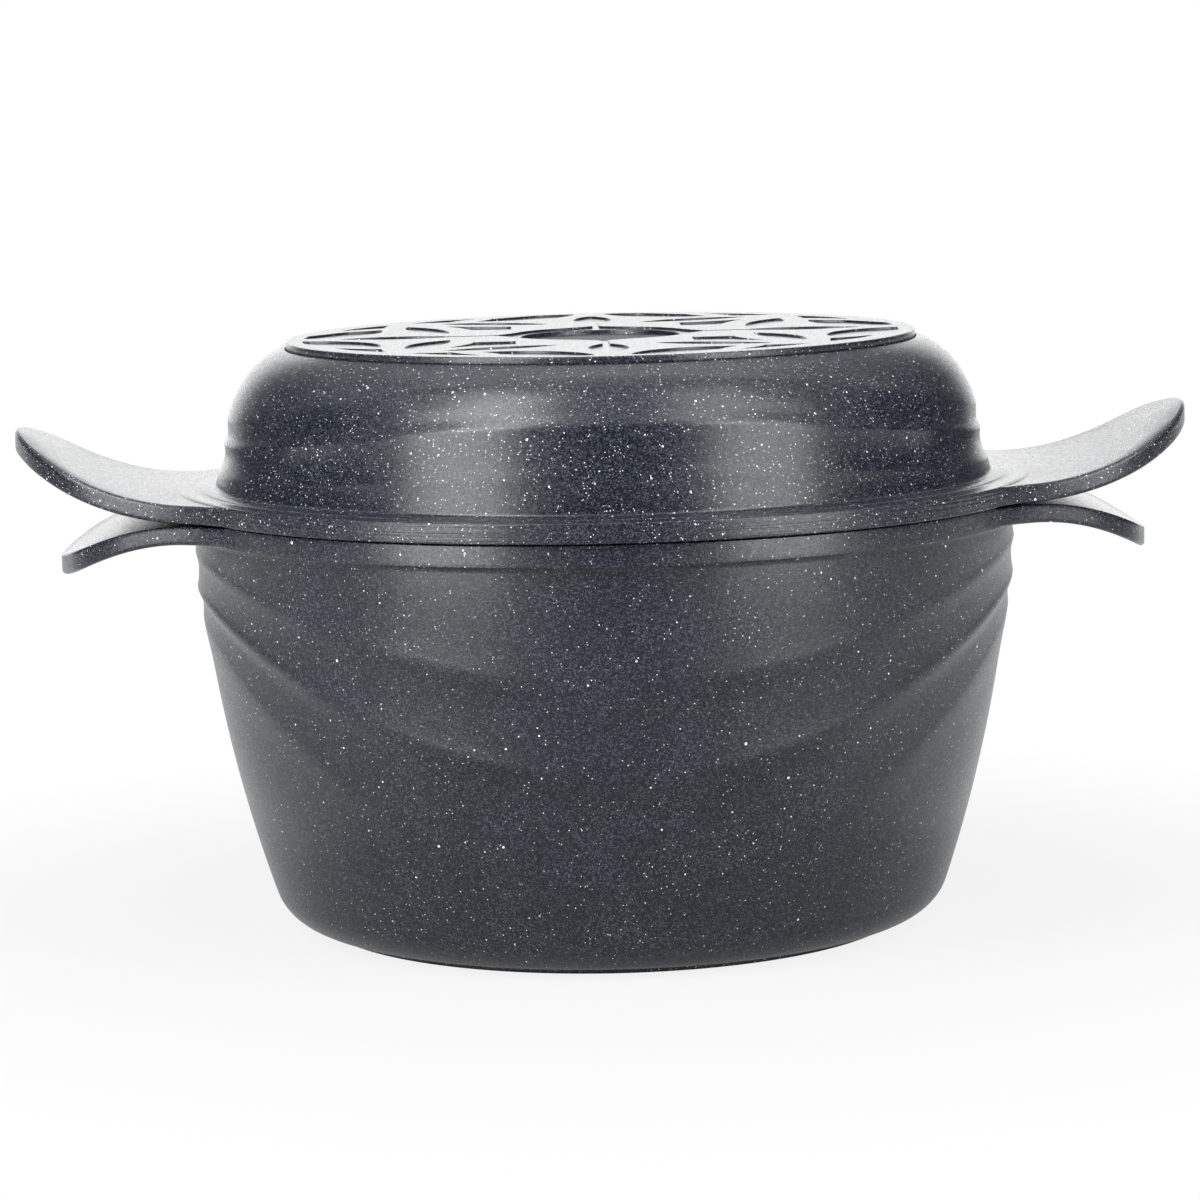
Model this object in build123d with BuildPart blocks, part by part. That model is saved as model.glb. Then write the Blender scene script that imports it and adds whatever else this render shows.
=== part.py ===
from build123d import *
from math import cos, exp, pi, radians, sin, sqrt, tan
import os

os.makedirs("parts", exist_ok=True)

# A deep cast pot, with a shallow pan turned upside down on it as its lid.
# Millimetres. Z is up, X runs along the handles, and the origin is the middle of the underside.

# Pot, outside. Its wall is an arc that leans in by wall_taper between its top and its low point.
rim_radius = 150.0
rim_top = 152.3
rim_band_height = 7.6
rim_overhang = 3.7
wall_taper = 24.8
wall_low_height = 14.0
wall_arc_radius = 497.0
foot_corner_radius = 17.0

# Pot, inside
pot_wall = 4.5
pot_base_thickness = 6.5
pot_floor_corner = 20.0

# Pan, outside. It stands upside down, so its base is uppermost.
flange_overhang = 2.4
flange_thickness = 7.4
flange_width = 16.9
pan_wall_draft = 5.4
pan_shoulder_radius = 32.0
pan_shoulder_angle = 67.2
pan_casting_height = 56.2

# Pan, inside
pan_wall = 4.2
pan_base_thickness = 6.0
pan_floor_corner = 26.0

# The bead on the pan that drops into the pot's mouth
seat_depth = 2.4
seat_width = 4.0
seat_gap = 0.6

# Base plates. A margin is the room between a plate and the rounding of its casting.
pot_plate_margin = 0.7
pot_plate_stand = 2.0
pan_plate_margin = 1.5
pan_plate_stand = 2.5
plate_inset = 1.5
plate_gap = 0.15

# Wing handles. An outline runs from the edge of the casting to the tip, through points given as shares of the
# wing's length beyond that edge and shares of its half width.
wing_thickness = 6.4
wing_drop = 0.4
wing_half_width = 52.5
wing_bend_angle = 32.0
bend_start_inset = 3.5
flare_angle = 31.0
flare_overlap = 1.0
pot_wing_length = 44.5
pot_wing_bend_radius = 80.0
pot_wing_outline = ((0.0, 1.15), (0.34, 1.03), (0.56, 0.945), (0.76, 0.80), (0.90, 0.52))
pan_wing_length = 57.1
pan_wing_bend_radius = 90.0
pan_wing_outline = ((-0.04, 1.17), (0.31, 1.017), (0.57, 0.91), (0.83, 0.665), (0.93, 0.42))

# Rounded edges
rim_edge_radius = 0.9
plate_edge_radius = 0.7
wing_edge_radius = 1.2
mouth_chamfer = 0.8

# Relief of a base plate: sunken fields between raised strips, laid out as an old eight-petalled rosette. An
# outline is closed and lists corners and, between them, the middle of the arc that joins them, or None where the
# edge is straight. All are shares of the plate's radius, in the eighth of the plate above the X axis.
field_depth = 0.85
medallion_share = 0.2535
medallion_depth = 2.4
collar_share = 0.286
stem_width_share = 0.022
leaf = ((0.458, 0.0), (0.614, 0.061), (0.827, 0.0), (0.614, -0.061))
leaf_foot = ((0.254, 0.132), (0.297, 0.056), (0.342, 0.0), (0.297, -0.056), (0.254, -0.132), None)
kite = ((0.276, 0.276), None, (0.276, 0.405), (0.374, 0.432), (0.486, 0.486), (0.432, 0.374), (0.405, 0.276), None)
inner_petal = ((0.48, 0.151), (0.609, 0.338), (0.612, 0.503), (0.494, 0.306))
outer_petal = (
    (0.943, 0.052), (0.941, 0.116), (0.93, 0.178), None, (0.814, 0.329), (0.756, 0.351), (0.701, 0.387), (0.748, 0.166)
)
rim_petal = ((0.832, 0.385), (0.77, 0.504), (0.679, 0.599), None, (0.692, 0.474), (0.765, 0.438))

# Folds of the walls, like cloth hung between the handles. Each is its height at the front, above the pot's
# underside or the pan's mouth, how fast it nears the mouth towards the handles, and how far it stands out.
pot_folds = ((106.0, 0.00150, 0.8), (74.0, 0.00243, 1.5), (34.2, 0.00387, 0.9))
pan_folds = ((19.9, 0.00040, 0.5), (37.3, 0.00080, 1.1), (52.7, 0.00120, 0.6))
fold_rise = 0.5
fold_fall = 0.22
fold_longest_fall = 9.0

# How finely the folded walls are drawn: points round a section, the step between sections, and the shares of
# that step at which three more sections stand at the rounded end
wall_angles = 72
wall_step = 5.0
end_shares = (0.1, 0.3, 0.6)

# Heights and radii that follow from the sizes above
wall_top_radius = rim_radius - rim_overhang
wall_low_radius = wall_top_radius - wall_taper
flange_radius = rim_radius + flange_overhang
pan_wall_radius = flange_radius - flange_width
rim_underside = rim_top - rim_band_height
flange_top = rim_top + flange_thickness
pan_foot = rim_top + pan_casting_height
pot_floor = pot_plate_stand + pot_base_thickness
pan_floor = pan_foot - pan_base_thickness

# Centre of the arc of the pot's wall, which passes through its low point and its top
chord_x = wall_top_radius - wall_low_radius
chord_z = rim_underside - wall_low_height
chord = sqrt(chord_x**2 + chord_z**2)
arc_depth = sqrt(wall_arc_radius**2 - (chord / 2) ** 2)
wall_centre_x = (wall_top_radius + wall_low_radius) / 2 - arc_depth * chord_z / chord
wall_centre_z = (rim_underside + wall_low_height) / 2 + arc_depth * chord_x / chord

# Centre of the rounded foot of the pot, which runs into that arc
foot_centre_z = pot_plate_stand + foot_corner_radius
centre_gap = wall_arc_radius - foot_corner_radius
foot_centre_x = wall_centre_x + sqrt(centre_gap**2 - (foot_centre_z - wall_centre_z) ** 2)
foot_top = wall_centre_z + (foot_centre_z - wall_centre_z) * wall_arc_radius / centre_gap
pot_plate_radius = foot_centre_x - pot_plate_margin

# Centre of the pan's shoulder, which runs into its sloping wall
shoulder_centre_z = pan_foot - pan_shoulder_radius * sin(radians(pan_shoulder_angle))
shoulder_low = shoulder_centre_z + pan_shoulder_radius * sin(radians(pan_wall_draft))
shoulder_wall_radius = pan_wall_radius - (shoulder_low - flange_top) * tan(radians(pan_wall_draft))
shoulder_centre_x = shoulder_wall_radius - pan_shoulder_radius * cos(radians(pan_wall_draft))
pan_foot_radius = shoulder_centre_x + pan_shoulder_radius * cos(radians(pan_shoulder_angle))
pan_plate_radius = pan_foot_radius - pan_plate_margin


def pot_arc(z, inset=0.0):
    """Radius of the pot's wall arc, moved in by inset."""
    return wall_centre_x + sqrt((wall_arc_radius - inset) ** 2 - (z - wall_centre_z) ** 2)


def pot_outside(z):
    """Radius of the pot's outside without its folds."""
    if z > foot_top:
        return pot_arc(z)
    return foot_centre_x + sqrt(foot_corner_radius**2 - (z - foot_centre_z) ** 2)


def pan_slope(z, inset=0.0):
    """Radius of the pan's sloping wall, moved in by inset."""
    slope = radians(pan_wall_draft)
    return pan_wall_radius - (z - flange_top) * tan(slope) - inset / cos(slope)


def pan_outside(z):
    """Radius of the pan's outside without its folds."""
    if z < shoulder_low:
        return pan_slope(z)
    return shoulder_centre_x + sqrt(max(pan_shoulder_radius**2 - (z - shoulder_centre_z) ** 2, 0.0))


def fold_profile(towards_mouth, room_above, room_below):
    """Share of a fold's stand-out at a distance from its ridge."""
    if towards_mouth > 0:
        return exp(-towards_mouth / (fold_rise * room_above))
    return exp(-((towards_mouth / min(fold_fall * room_below, fold_longest_fall)) ** 2))


def folds_out(z, ridges, mouth, base):
    """How far the folds stand out at a height. The ridges are listed from the mouth to the base."""
    heights = [mouth] + [height for height, out in ridges] + [base]
    total = 0.0
    for index, (height, out) in enumerate(ridges):
        towards_mouth = z - height if mouth > base else height - z
        room_above = abs(heights[index] - height)
        room_below = abs(height - heights[index + 2])
        total += out * fold_profile(towards_mouth, room_above, room_below)
    return total


def pot_folded_radius(z, angle):
    """Radius of the pot's outside with its folds."""
    plain = pot_outside(z)
    x = plain * cos(angle)
    ridges = [(height + climb * x**2, out) for height, climb, out in pot_folds]
    return plain + folds_out(z, ridges, rim_underside, pot_plate_stand)


def pan_folded_radius(z, angle):
    """Radius of the pan's outside with its folds."""
    plain = pan_outside(z)
    x = plain * cos(angle)
    ridges = [(rim_top + height - climb * x**2, out) for height, climb, out in pan_folds]
    return plain + folds_out(z, ridges, flange_top, pan_foot)


def wall_heights(low, high, fine_end):
    """Heights of the sections of a wall, closer together at its rounded end."""
    steps = round((high - low) / wall_step)
    heights = [low + (high - low) * step / steps for step in range(steps + 1)]
    end, next_in = (heights[0], heights[1]) if fine_end == "low" else (heights[-1], heights[-2])
    heights += [end + (next_in - end) * share for share in end_shares]
    return sorted(heights)


def wall_outline(radius_at, z):
    """Closed outline of a folded wall at one height. Its points keep the same parameters at every height."""
    turns = [step / wall_angles for step in range(wall_angles + 1)]
    points = []
    for turn in turns[:-1]:
        angle = pi / 2 + 2 * pi * turn
        radius = radius_at(z, angle)
        points.append((radius * cos(angle), radius * sin(angle)))
    return Edge.make_spline(points, periodic=True, parameters=turns)


def wing_plates(edge, length, outline, top, bend_radius, bend_side):
    """Both wings of a casting: a plate bent up or down at its ends, cut to the outline of a wing."""
    middle = top - wing_thickness / 2
    reach = edge + length
    flare = radians(flare_angle)
    root_radius = edge - flare_overlap
    root = (root_radius * cos(flare), root_radius * sin(flare))
    points = [(edge + length * along, wing_half_width * across) for along, across in outline]
    with BuildPart() as plates:
        with BuildSketch(Plane.XZ):
            with BuildLine():
                bend_start = rim_radius - bend_start_inset
                flat = Line((0, middle), (bend_start, middle))
                curve = JernArc(flat @ 1, flat % 1, bend_radius, bend_side * wing_bend_angle)
                Line(curve @ 1, curve @ 1 + (curve % 1) * reach)
            trace(line_width=wing_thickness)
        extrude(amount=rim_radius, both=True)
        with BuildSketch(Plane.XY.offset(top - reach)):
            with BuildLine():
                Spline(root, *points, (reach, 0), tangents=((sin(flare), -cos(flare)), (0, -1)))
                Line((0, root[1]), root)
                mirror(about=Plane.XZ)
                Line((0, root[1]), (0, -root[1]))
            make_face()
        extrude(amount=2 * reach, mode=Mode.INTERSECT)
        fillet(plates.edges().filter_by(GeomType.LINE, reverse=True), wing_edge_radius)
        mirror(about=Plane.YZ)
    return plates.part


def ring_section(low, high, inner, outer, rounded, edge_radius):
    """Section of a turned ring, with its outer corners named in rounded eased."""
    with BuildSketch(Plane.XZ) as section:
        with BuildLine():
            Polyline((inner, low), (outer, low), (outer, high), (inner, high), close=True)
        make_face()
        low_corner, high_corner = section.vertices().sort_by(Axis.X)[-2:].sort_by(Axis.Y)
        corners = {"low": low_corner, "high": high_corner}
        fillet([corners[name] for name in rounded], edge_radius)
    return section.sketch


def field(outline, plate_radius):
    """One sunken field of a base plate."""
    points = [None if share is None else (share[0] * plate_radius, share[1] * plate_radius) for share in outline]
    corners = points[::2] + points[:1]
    with BuildSketch() as face:
        with BuildLine():
            for start, middle, end in zip(corners, points[1::2], corners[1:]):
                if middle is None:
                    Line(start, end)
                else:
                    ThreePointArc(start, middle, end)
        make_face()
    return face.sketch


def rosette_fields(plate_radius):
    """All the sunken fields of a base plate, without the medallion."""
    stem_start = plate_radius * collar_share
    stem_end = plate_radius * (leaf[0][0] + stem_width_share)
    with BuildSketch() as quarter:
        for outline in (inner_petal, outer_petal, rim_petal):
            add(field(outline, plate_radius))
        mirror(about=Plane.XZ)
        for outline in (leaf, leaf_foot, kite):
            add(field(outline, plate_radius))
        with Locations(((stem_start + stem_end) / 2, 0)):
            Rectangle(stem_end - stem_start, plate_radius * stem_width_share)
    with BuildSketch() as rosette:
        with PolarLocations(0, 4):
            add(quarter.sketch)
        Circle(stem_start)
    return rosette.sketch


# The pot's casting: folded wall, rim band, two wings, hollow inside and a seat for its base plate
pot_wings = wing_plates(
    rim_radius, pot_wing_length, pot_wing_outline, rim_top - wing_drop, pot_wing_bend_radius, -1
)
with BuildPart() as pot_body:
    for height in wall_heights(pot_plate_stand, rim_top - rim_edge_radius, "low"):
        with BuildSketch(Plane.XY.offset(height)):
            with BuildLine():
                add(wall_outline(pot_folded_radius, height))
            make_face()
    loft()
    add(ring_section(rim_underside, rim_top, 0, rim_radius, ("low", "high"), rim_edge_radius))
    revolve(axis=Axis.Z)
    add(pot_wings)
    with BuildSketch(Plane.XZ) as hollow:
        mouth = pot_arc(rim_top, pot_wall)
        floor_edge = pot_arc(pot_floor, pot_wall)
        with BuildLine():
            Line((0, rim_top), (0, pot_floor))
            Line((0, pot_floor), (floor_edge, pot_floor))
            half_way = (rim_top + pot_floor) / 2
            ThreePointArc((floor_edge, pot_floor), (pot_arc(half_way, pot_wall), half_way), (mouth, rim_top))
            Line((mouth, rim_top), (0, rim_top))
        make_face()
        corner = hollow.vertices().sort_by(Axis.Y)[:2].sort_by(Axis.X)[-1]
        fillet(corner, pot_floor_corner)
    revolve(axis=Axis.Z, mode=Mode.SUBTRACT)
    with BuildSketch(Plane.XY.offset(pot_plate_stand)):
        Circle(pot_plate_radius + plate_gap)
    extrude(amount=plate_inset, mode=Mode.SUBTRACT)
    top_circles = pot_body.edges().filter_by(GeomType.CIRCLE).group_by(Axis.Z)[-1]
    chamfer(top_circles.sort_by(SortBy.RADIUS)[0], mouth_chamfer)
pot_body.part.label = "pot_body"
export_step(pot_body.part, "parts/pot_body.step")

# The disc under the pot. Its relief is on its underside.
with BuildPart() as pot_base_plate:
    plate_top = pot_plate_stand + plate_inset
    add(ring_section(0, plate_top, 0, pot_plate_radius, ("low",), plate_edge_radius))
    revolve(axis=Axis.Z)
    pot_plate_face = Plane.XY.rotated((180, 0, 0))
    with BuildSketch(pot_plate_face):
        add(rosette_fields(pot_plate_radius))
    extrude(amount=-field_depth, mode=Mode.SUBTRACT)
    with BuildSketch(pot_plate_face):
        Circle(pot_plate_radius * medallion_share)
    extrude(amount=-medallion_depth, mode=Mode.SUBTRACT)
pot_base_plate.part.label = "pot_base_plate"
export_step(pot_base_plate.part, "parts/pot_base_plate.step")

# The pan's casting, upside down: folded wall, flange, two wings, hollow inside, bead and seat for its plate
pan_wings = wing_plates(
    flange_radius, pan_wing_length, pan_wing_outline, flange_top - wing_drop, pan_wing_bend_radius, 1
)
with BuildPart() as pan_lid_body:
    for height in wall_heights(flange_top - rim_edge_radius, pan_foot, "high"):
        with BuildSketch(Plane.XY.offset(height)):
            with BuildLine():
                add(wall_outline(pan_folded_radius, height))
            make_face()
    loft()
    add(ring_section(rim_top, flange_top, 0, flange_radius, ("low", "high"), rim_edge_radius))
    revolve(axis=Axis.Z)
    add(pan_wings)
    with BuildSketch(Plane.XZ) as pan_hollow:
        pan_mouth = pan_slope(rim_top, pan_wall)
        pan_corner = pan_slope(pan_floor, pan_wall)
        with BuildLine():
            Polyline((0, rim_top), (pan_mouth, rim_top), (pan_corner, pan_floor), (0, pan_floor), close=True)
        make_face()
        corner = pan_hollow.vertices().sort_by(Axis.Y)[-2:].sort_by(Axis.X)[-1]
        fillet(corner, pan_floor_corner)
    revolve(axis=Axis.Z, mode=Mode.SUBTRACT)
    seat_radius = mouth - seat_gap
    seat_low = rim_top - seat_depth
    add(ring_section(seat_low, rim_top, seat_radius - seat_width, seat_radius, ("low",), rim_edge_radius))
    revolve(axis=Axis.Z)
    with BuildSketch(Plane.XY.offset(pan_foot)):
        Circle(pan_plate_radius + plate_gap)
    extrude(amount=-plate_inset, mode=Mode.SUBTRACT)

pan_lid_body.part.label = "pan_lid_body"
export_step(pan_lid_body.part, "parts/pan_lid_body.step")

# The disc on the pan's base. Its relief is on its upper face.
with BuildPart() as pan_base_plate:
    pan_top = pan_foot + pan_plate_stand
    add(ring_section(pan_foot - plate_inset, pan_top, 0, pan_plate_radius, ("high",), plate_edge_radius))
    revolve(axis=Axis.Z)
    with BuildSketch(Plane.XY.offset(pan_top)):
        add(rosette_fields(pan_plate_radius))
    extrude(amount=-field_depth, mode=Mode.SUBTRACT)
    with BuildSketch(Plane.XY.offset(pan_top)):
        Circle(pan_plate_radius * medallion_share)
    extrude(amount=-medallion_depth, mode=Mode.SUBTRACT)
pan_base_plate.part.label = "pan_base_plate"
export_step(pan_base_plate.part, "parts/pan_base_plate.step")
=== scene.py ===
from math import asin, cos, pi, radians, sin, sqrt, tan

import bpy
import numpy as np
from bpy.props import FloatProperty, FloatVectorProperty, PointerProperty
from mathutils import Matrix, Vector
from mathutils.geometry import delaunay_2d_cdt


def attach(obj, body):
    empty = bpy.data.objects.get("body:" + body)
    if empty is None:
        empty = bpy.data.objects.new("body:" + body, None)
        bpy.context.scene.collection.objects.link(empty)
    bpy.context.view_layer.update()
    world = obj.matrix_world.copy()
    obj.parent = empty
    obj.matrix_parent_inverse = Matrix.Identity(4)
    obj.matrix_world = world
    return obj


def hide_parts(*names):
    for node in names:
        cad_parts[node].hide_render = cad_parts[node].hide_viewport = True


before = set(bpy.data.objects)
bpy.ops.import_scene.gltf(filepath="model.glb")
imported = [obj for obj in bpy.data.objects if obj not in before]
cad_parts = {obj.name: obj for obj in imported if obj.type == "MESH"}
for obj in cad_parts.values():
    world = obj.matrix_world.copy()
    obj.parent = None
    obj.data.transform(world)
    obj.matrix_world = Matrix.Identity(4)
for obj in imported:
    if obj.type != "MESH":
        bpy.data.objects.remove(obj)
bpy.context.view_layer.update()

bl_info = {
    "name": "Pot With Frying Pan Lid",
    "version": (1, 0, 0),
    "blender": (4, 5, 0),
    "location": "3D View > Sidebar > Pot",
    "description": "Builds a coated cast pot, the frying pan that lies on it as a lid, and their base plates",
    "category": "Add Mesh",
}

MILLIMETRE = 0.001

# Points round each casting and each plate
COLUMNS = 720


# Sizes and finishes that a user may change


def length_size(name, description, default):
    """A length in metres."""
    return FloatProperty(name=name, description=description, default=default, min=0.0, unit="LENGTH")


def colour_choice(name, description, default):
    """A colour."""
    return FloatVectorProperty(
        name=name, description=description, subtype="COLOR", size=3, default=default, min=0.0, max=1.0
    )


def fold_choice():
    """How far the folds stand out."""
    return FloatProperty(
        name="Fold Depth", description="Stand-out of the folds, 1 as cast", default=1.0, min=0.0, max=1.5
    )


class PotSizes(bpy.types.PropertyGroup):
    """Sizes of the pot"""

    rim_radius: length_size("Rim Radius", "Radius of the outer face of the rim band", 0.150)
    height: length_size("Height", "Height of the rim above the underside of the base plate", 0.1523)
    band_height: length_size("Band Height", "Height of the thicker band round the rim", 0.0076)
    wall: length_size("Wall", "Thickness of the wall", 0.0045)
    wing_length: length_size("Wing Length", "How far a wing stands out beyond the rim", 0.0445)
    fold_depth: fold_choice()


class PanSizes(bpy.types.PropertyGroup):
    """Sizes of the frying pan that is the lid"""

    flange_radius: length_size("Flange Radius", "Radius of the flange", 0.1524)
    flange_thickness: length_size("Flange Thickness", "Thickness of the flange", 0.0074)
    casting_height: length_size("Casting Height", "Height of the casting without its base plate", 0.0562)
    wall: length_size("Wall", "Thickness of the wall", 0.0042)
    wing_length: length_size("Wing Length", "How far a wing stands out beyond the flange", 0.0571)
    fold_depth: fold_choice()


class PlateSizes(bpy.types.PropertyGroup):
    """Sizes of the two base plates and their relief"""

    pot_radius: length_size("Pot Plate Radius", "Radius of the plate under the pot", 0.1045)
    pan_radius: length_size("Pan Plate Radius", "Radius of the plate on the frying pan", 0.1124)
    pot_stand: length_size("Pot Plate Stand-Out", "How far the plate stands out of the pot's foot", 0.002)
    pan_stand: length_size("Pan Plate Stand-Out", "How far the plate stands out of the pan's base", 0.0025)
    field_depth: length_size("Field Depth", "Depth of the sunken fields of the rosette", 0.00085)
    medallion_depth: length_size("Medallion Depth", "Depth of the sunken medallion in the middle", 0.0024)


class CoatingLook(bpy.types.PropertyGroup):
    """The speckled satin coating"""

    colour: colour_choice("Coating Colour", "Charcoal between the grains", (0.002, 0.0035, 0.008))
    grain_colour: colour_choice("Grain Colour", "The fine metallic grains", (0.060, 0.068, 0.086))
    speckle_colour: colour_choice("Speckle Colour", "The pale speckles", (0.74, 0.75, 0.76))
    speckle_spacing: length_size("Speckle Spacing", "Distance between places where a speckle may lie", 0.0016)
    grain_size: length_size("Grain Size", "Size of the fine grains", 0.00036)
    roughness: FloatProperty(
        name="Roughness", description="How rough it is", subtype="FACTOR", default=0.3, min=0.1, max=0.9
    )


class StudioLight(bpy.types.PropertyGroup):
    """The studio"""

    side_power: FloatProperty(
        name="Side Power", description="Power that the lamps in front share in", default=4.4, unit="POWER"
    )
    top_power: FloatProperty(
        name="Top Power", description="Power of the wide soft lamp above", default=6.0, unit="POWER"
    )
    floor_colour: colour_choice("Floor Colour", "Colour of the floor", (0.4, 0.4, 0.4))


# Folds of the walls, like cloth hung between the handles. Each is its height at the front, above the pot's
# underside or the pan's mouth, how fast it nears the mouth towards the handles, and how far it stands out.
# Heights and stand-out are in millimetres. A fold rises over a share of the room towards the mouth, and falls
# over a share of the room beyond.
POT_FOLDS = ((106.0, 0.00150, 0.8), (74.0, 0.00243, 1.5), (34.2, 0.00387, 0.9))
PAN_FOLDS = ((19.9, 0.00040, 0.5), (37.3, 0.00080, 1.1), (52.7, 0.00120, 0.6))
FOLD_RISE = 0.3
FOLD_FALL = 0.22
LONGEST_FALL = 9.0

# Beside the handles the pan's wall flares out to the flange. A low land lies round its foot, and the flange
# stands clear of the pot's rim outside the join. These and the sizes below are in millimetres.
SIDE_FLARE = 3.2
FLARE_HEIGHT = 8.0
FLARE_START = 80.0
FLARE_END = 134.0
LAND_RADIUS = 144.2
LAND_HEIGHT = 0.35
LAND_FILLET = 1.2
JOIN_RADIUS = 146.0
JOIN_GAP = 0.95

# The pot's wall is an arc that leans in towards the foot
RIM_OVERHANG = 3.7
WALL_TAPER = 24.8
WALL_LOW_HEIGHT = 14.0
WALL_ARC_RADIUS = 497.0
FOOT_CORNER = 17.0
POT_BASE_THICKNESS = 6.5
POT_FLOOR_CORNER = 20.0
POT_SEAT_MARGIN = 0.55
POT_WING_BEND_RADIUS = 80.0
BAND_UNDERCUT = 1.0

# The pan's wall leans in by its draft and turns over a large shoulder
PAN_FLANGE_WIDTH = 16.9
PAN_DRAFT = radians(5.4)
PAN_SHOULDER = 32.0
PAN_SHOULDER_END = radians(67.2)
PAN_BASE_THICKNESS = 6.0
PAN_FLOOR_CORNER = 26.0
PAN_SEAT_MARGIN = 1.35
PAN_WING_BEND_RADIUS = 90.0

# Small edges and seats
SMALL_EDGE = 0.3
MOUTH_EDGE = 0.8
PLATE_SEAT = 1.5
PLATE_ROUNDING = 0.7
BEAD_RADIUS = 141.74
BEAD_WIDTH = 4.0
BEAD_DEPTH = 2.4
BEAD_ROUNDING = 0.9


def smooth_step(low, high, value):
    """Runs from 0 at low to 1 at high."""
    share = np.clip((value - low) / (high - low), 0.0, 1.0)
    return share * share * (3 - 2 * share)


def folds_out(z, ridges, mouth, base):
    """How far the folds stand out. The ridges are listed from the mouth to the base."""
    heights = [mouth] + [height for height, out in ridges] + [base]
    total = np.zeros_like(z)
    for index, (height, out) in enumerate(ridges):
        towards_mouth = z - height if mouth > base else height - z
        room_above = np.abs(heights[index] - height)
        room_below = np.abs(height - heights[index + 2])
        rise = np.exp(-np.maximum(towards_mouth, 0.0) / (FOLD_RISE * room_above))
        fall = np.exp(-((towards_mouth / np.minimum(FOLD_FALL * room_below, LONGEST_FALL)) ** 2))
        total += out * np.where(towards_mouth > 0, rise, fall)
    return total


# The edge of a casting, with its two wings. Lengths are in millimetres, and a wing's outline is in shares of
# its length and of half its width. The ring stands a little proud of the wings, with a step near its radius.
WING_THICKNESS = 6.4
WING_DROP = 0.4
WING_HALF_WIDTH = 52.5
WING_BEND = radians(32.0)
BEND_START = 146.5
WING_FLARE = radians(31.0)
ROOT_OVERLAP = 1.0
WING_BLEND = 6.0
RING_ROUNDING = 0.45
WING_ROUNDING = 1.4
STEP_START = -0.5
STEP_END = 0.1
STEP_ROWS = (-0.6, -0.35, -0.1, 0.15)
POT_WING = ((0.0, 1.15), (0.34, 1.03), (0.56, 0.945), (0.76, 0.80), (0.90, 0.52))
PAN_WING = ((-0.04, 1.17), (0.31, 1.017), (0.57, 0.91), (0.83, 0.665), (0.93, 0.42))


def spline_through(knots, first_slope, last_slope):
    """Smooth curve through knots, with its directions at both ends given, as many points."""
    knots = np.array(knots)
    gaps = np.linalg.norm(np.diff(knots, axis=0), axis=1)
    count = len(knots)
    matrix = np.identity(count)
    slopes = np.zeros((count, 2))
    slopes[0], slopes[-1] = first_slope, last_slope
    for index in range(1, count - 1):
        before, after = gaps[index - 1], gaps[index]
        matrix[index, index - 1 : index + 2] = after, 2 * (before + after), before
        step_before = (knots[index] - knots[index - 1]) / before
        step_after = (knots[index + 1] - knots[index]) / after
        slopes[index] = 3 * (after * step_before + before * step_after)
    slopes = np.linalg.solve(matrix, slopes)
    pieces = []
    for index, gap in enumerate(gaps):
        t = np.linspace(0.0, 1.0, 200)[:, None]
        pieces.append(
            (2 * t**3 - 3 * t**2 + 1) * knots[index]
            + (t**3 - 2 * t**2 + t) * gap * slopes[index]
            + (3 * t**2 - 2 * t**3) * knots[index + 1]
            + (t**3 - t**2) * gap * slopes[index + 1]
        )
    return np.concatenate(pieces)


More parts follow.
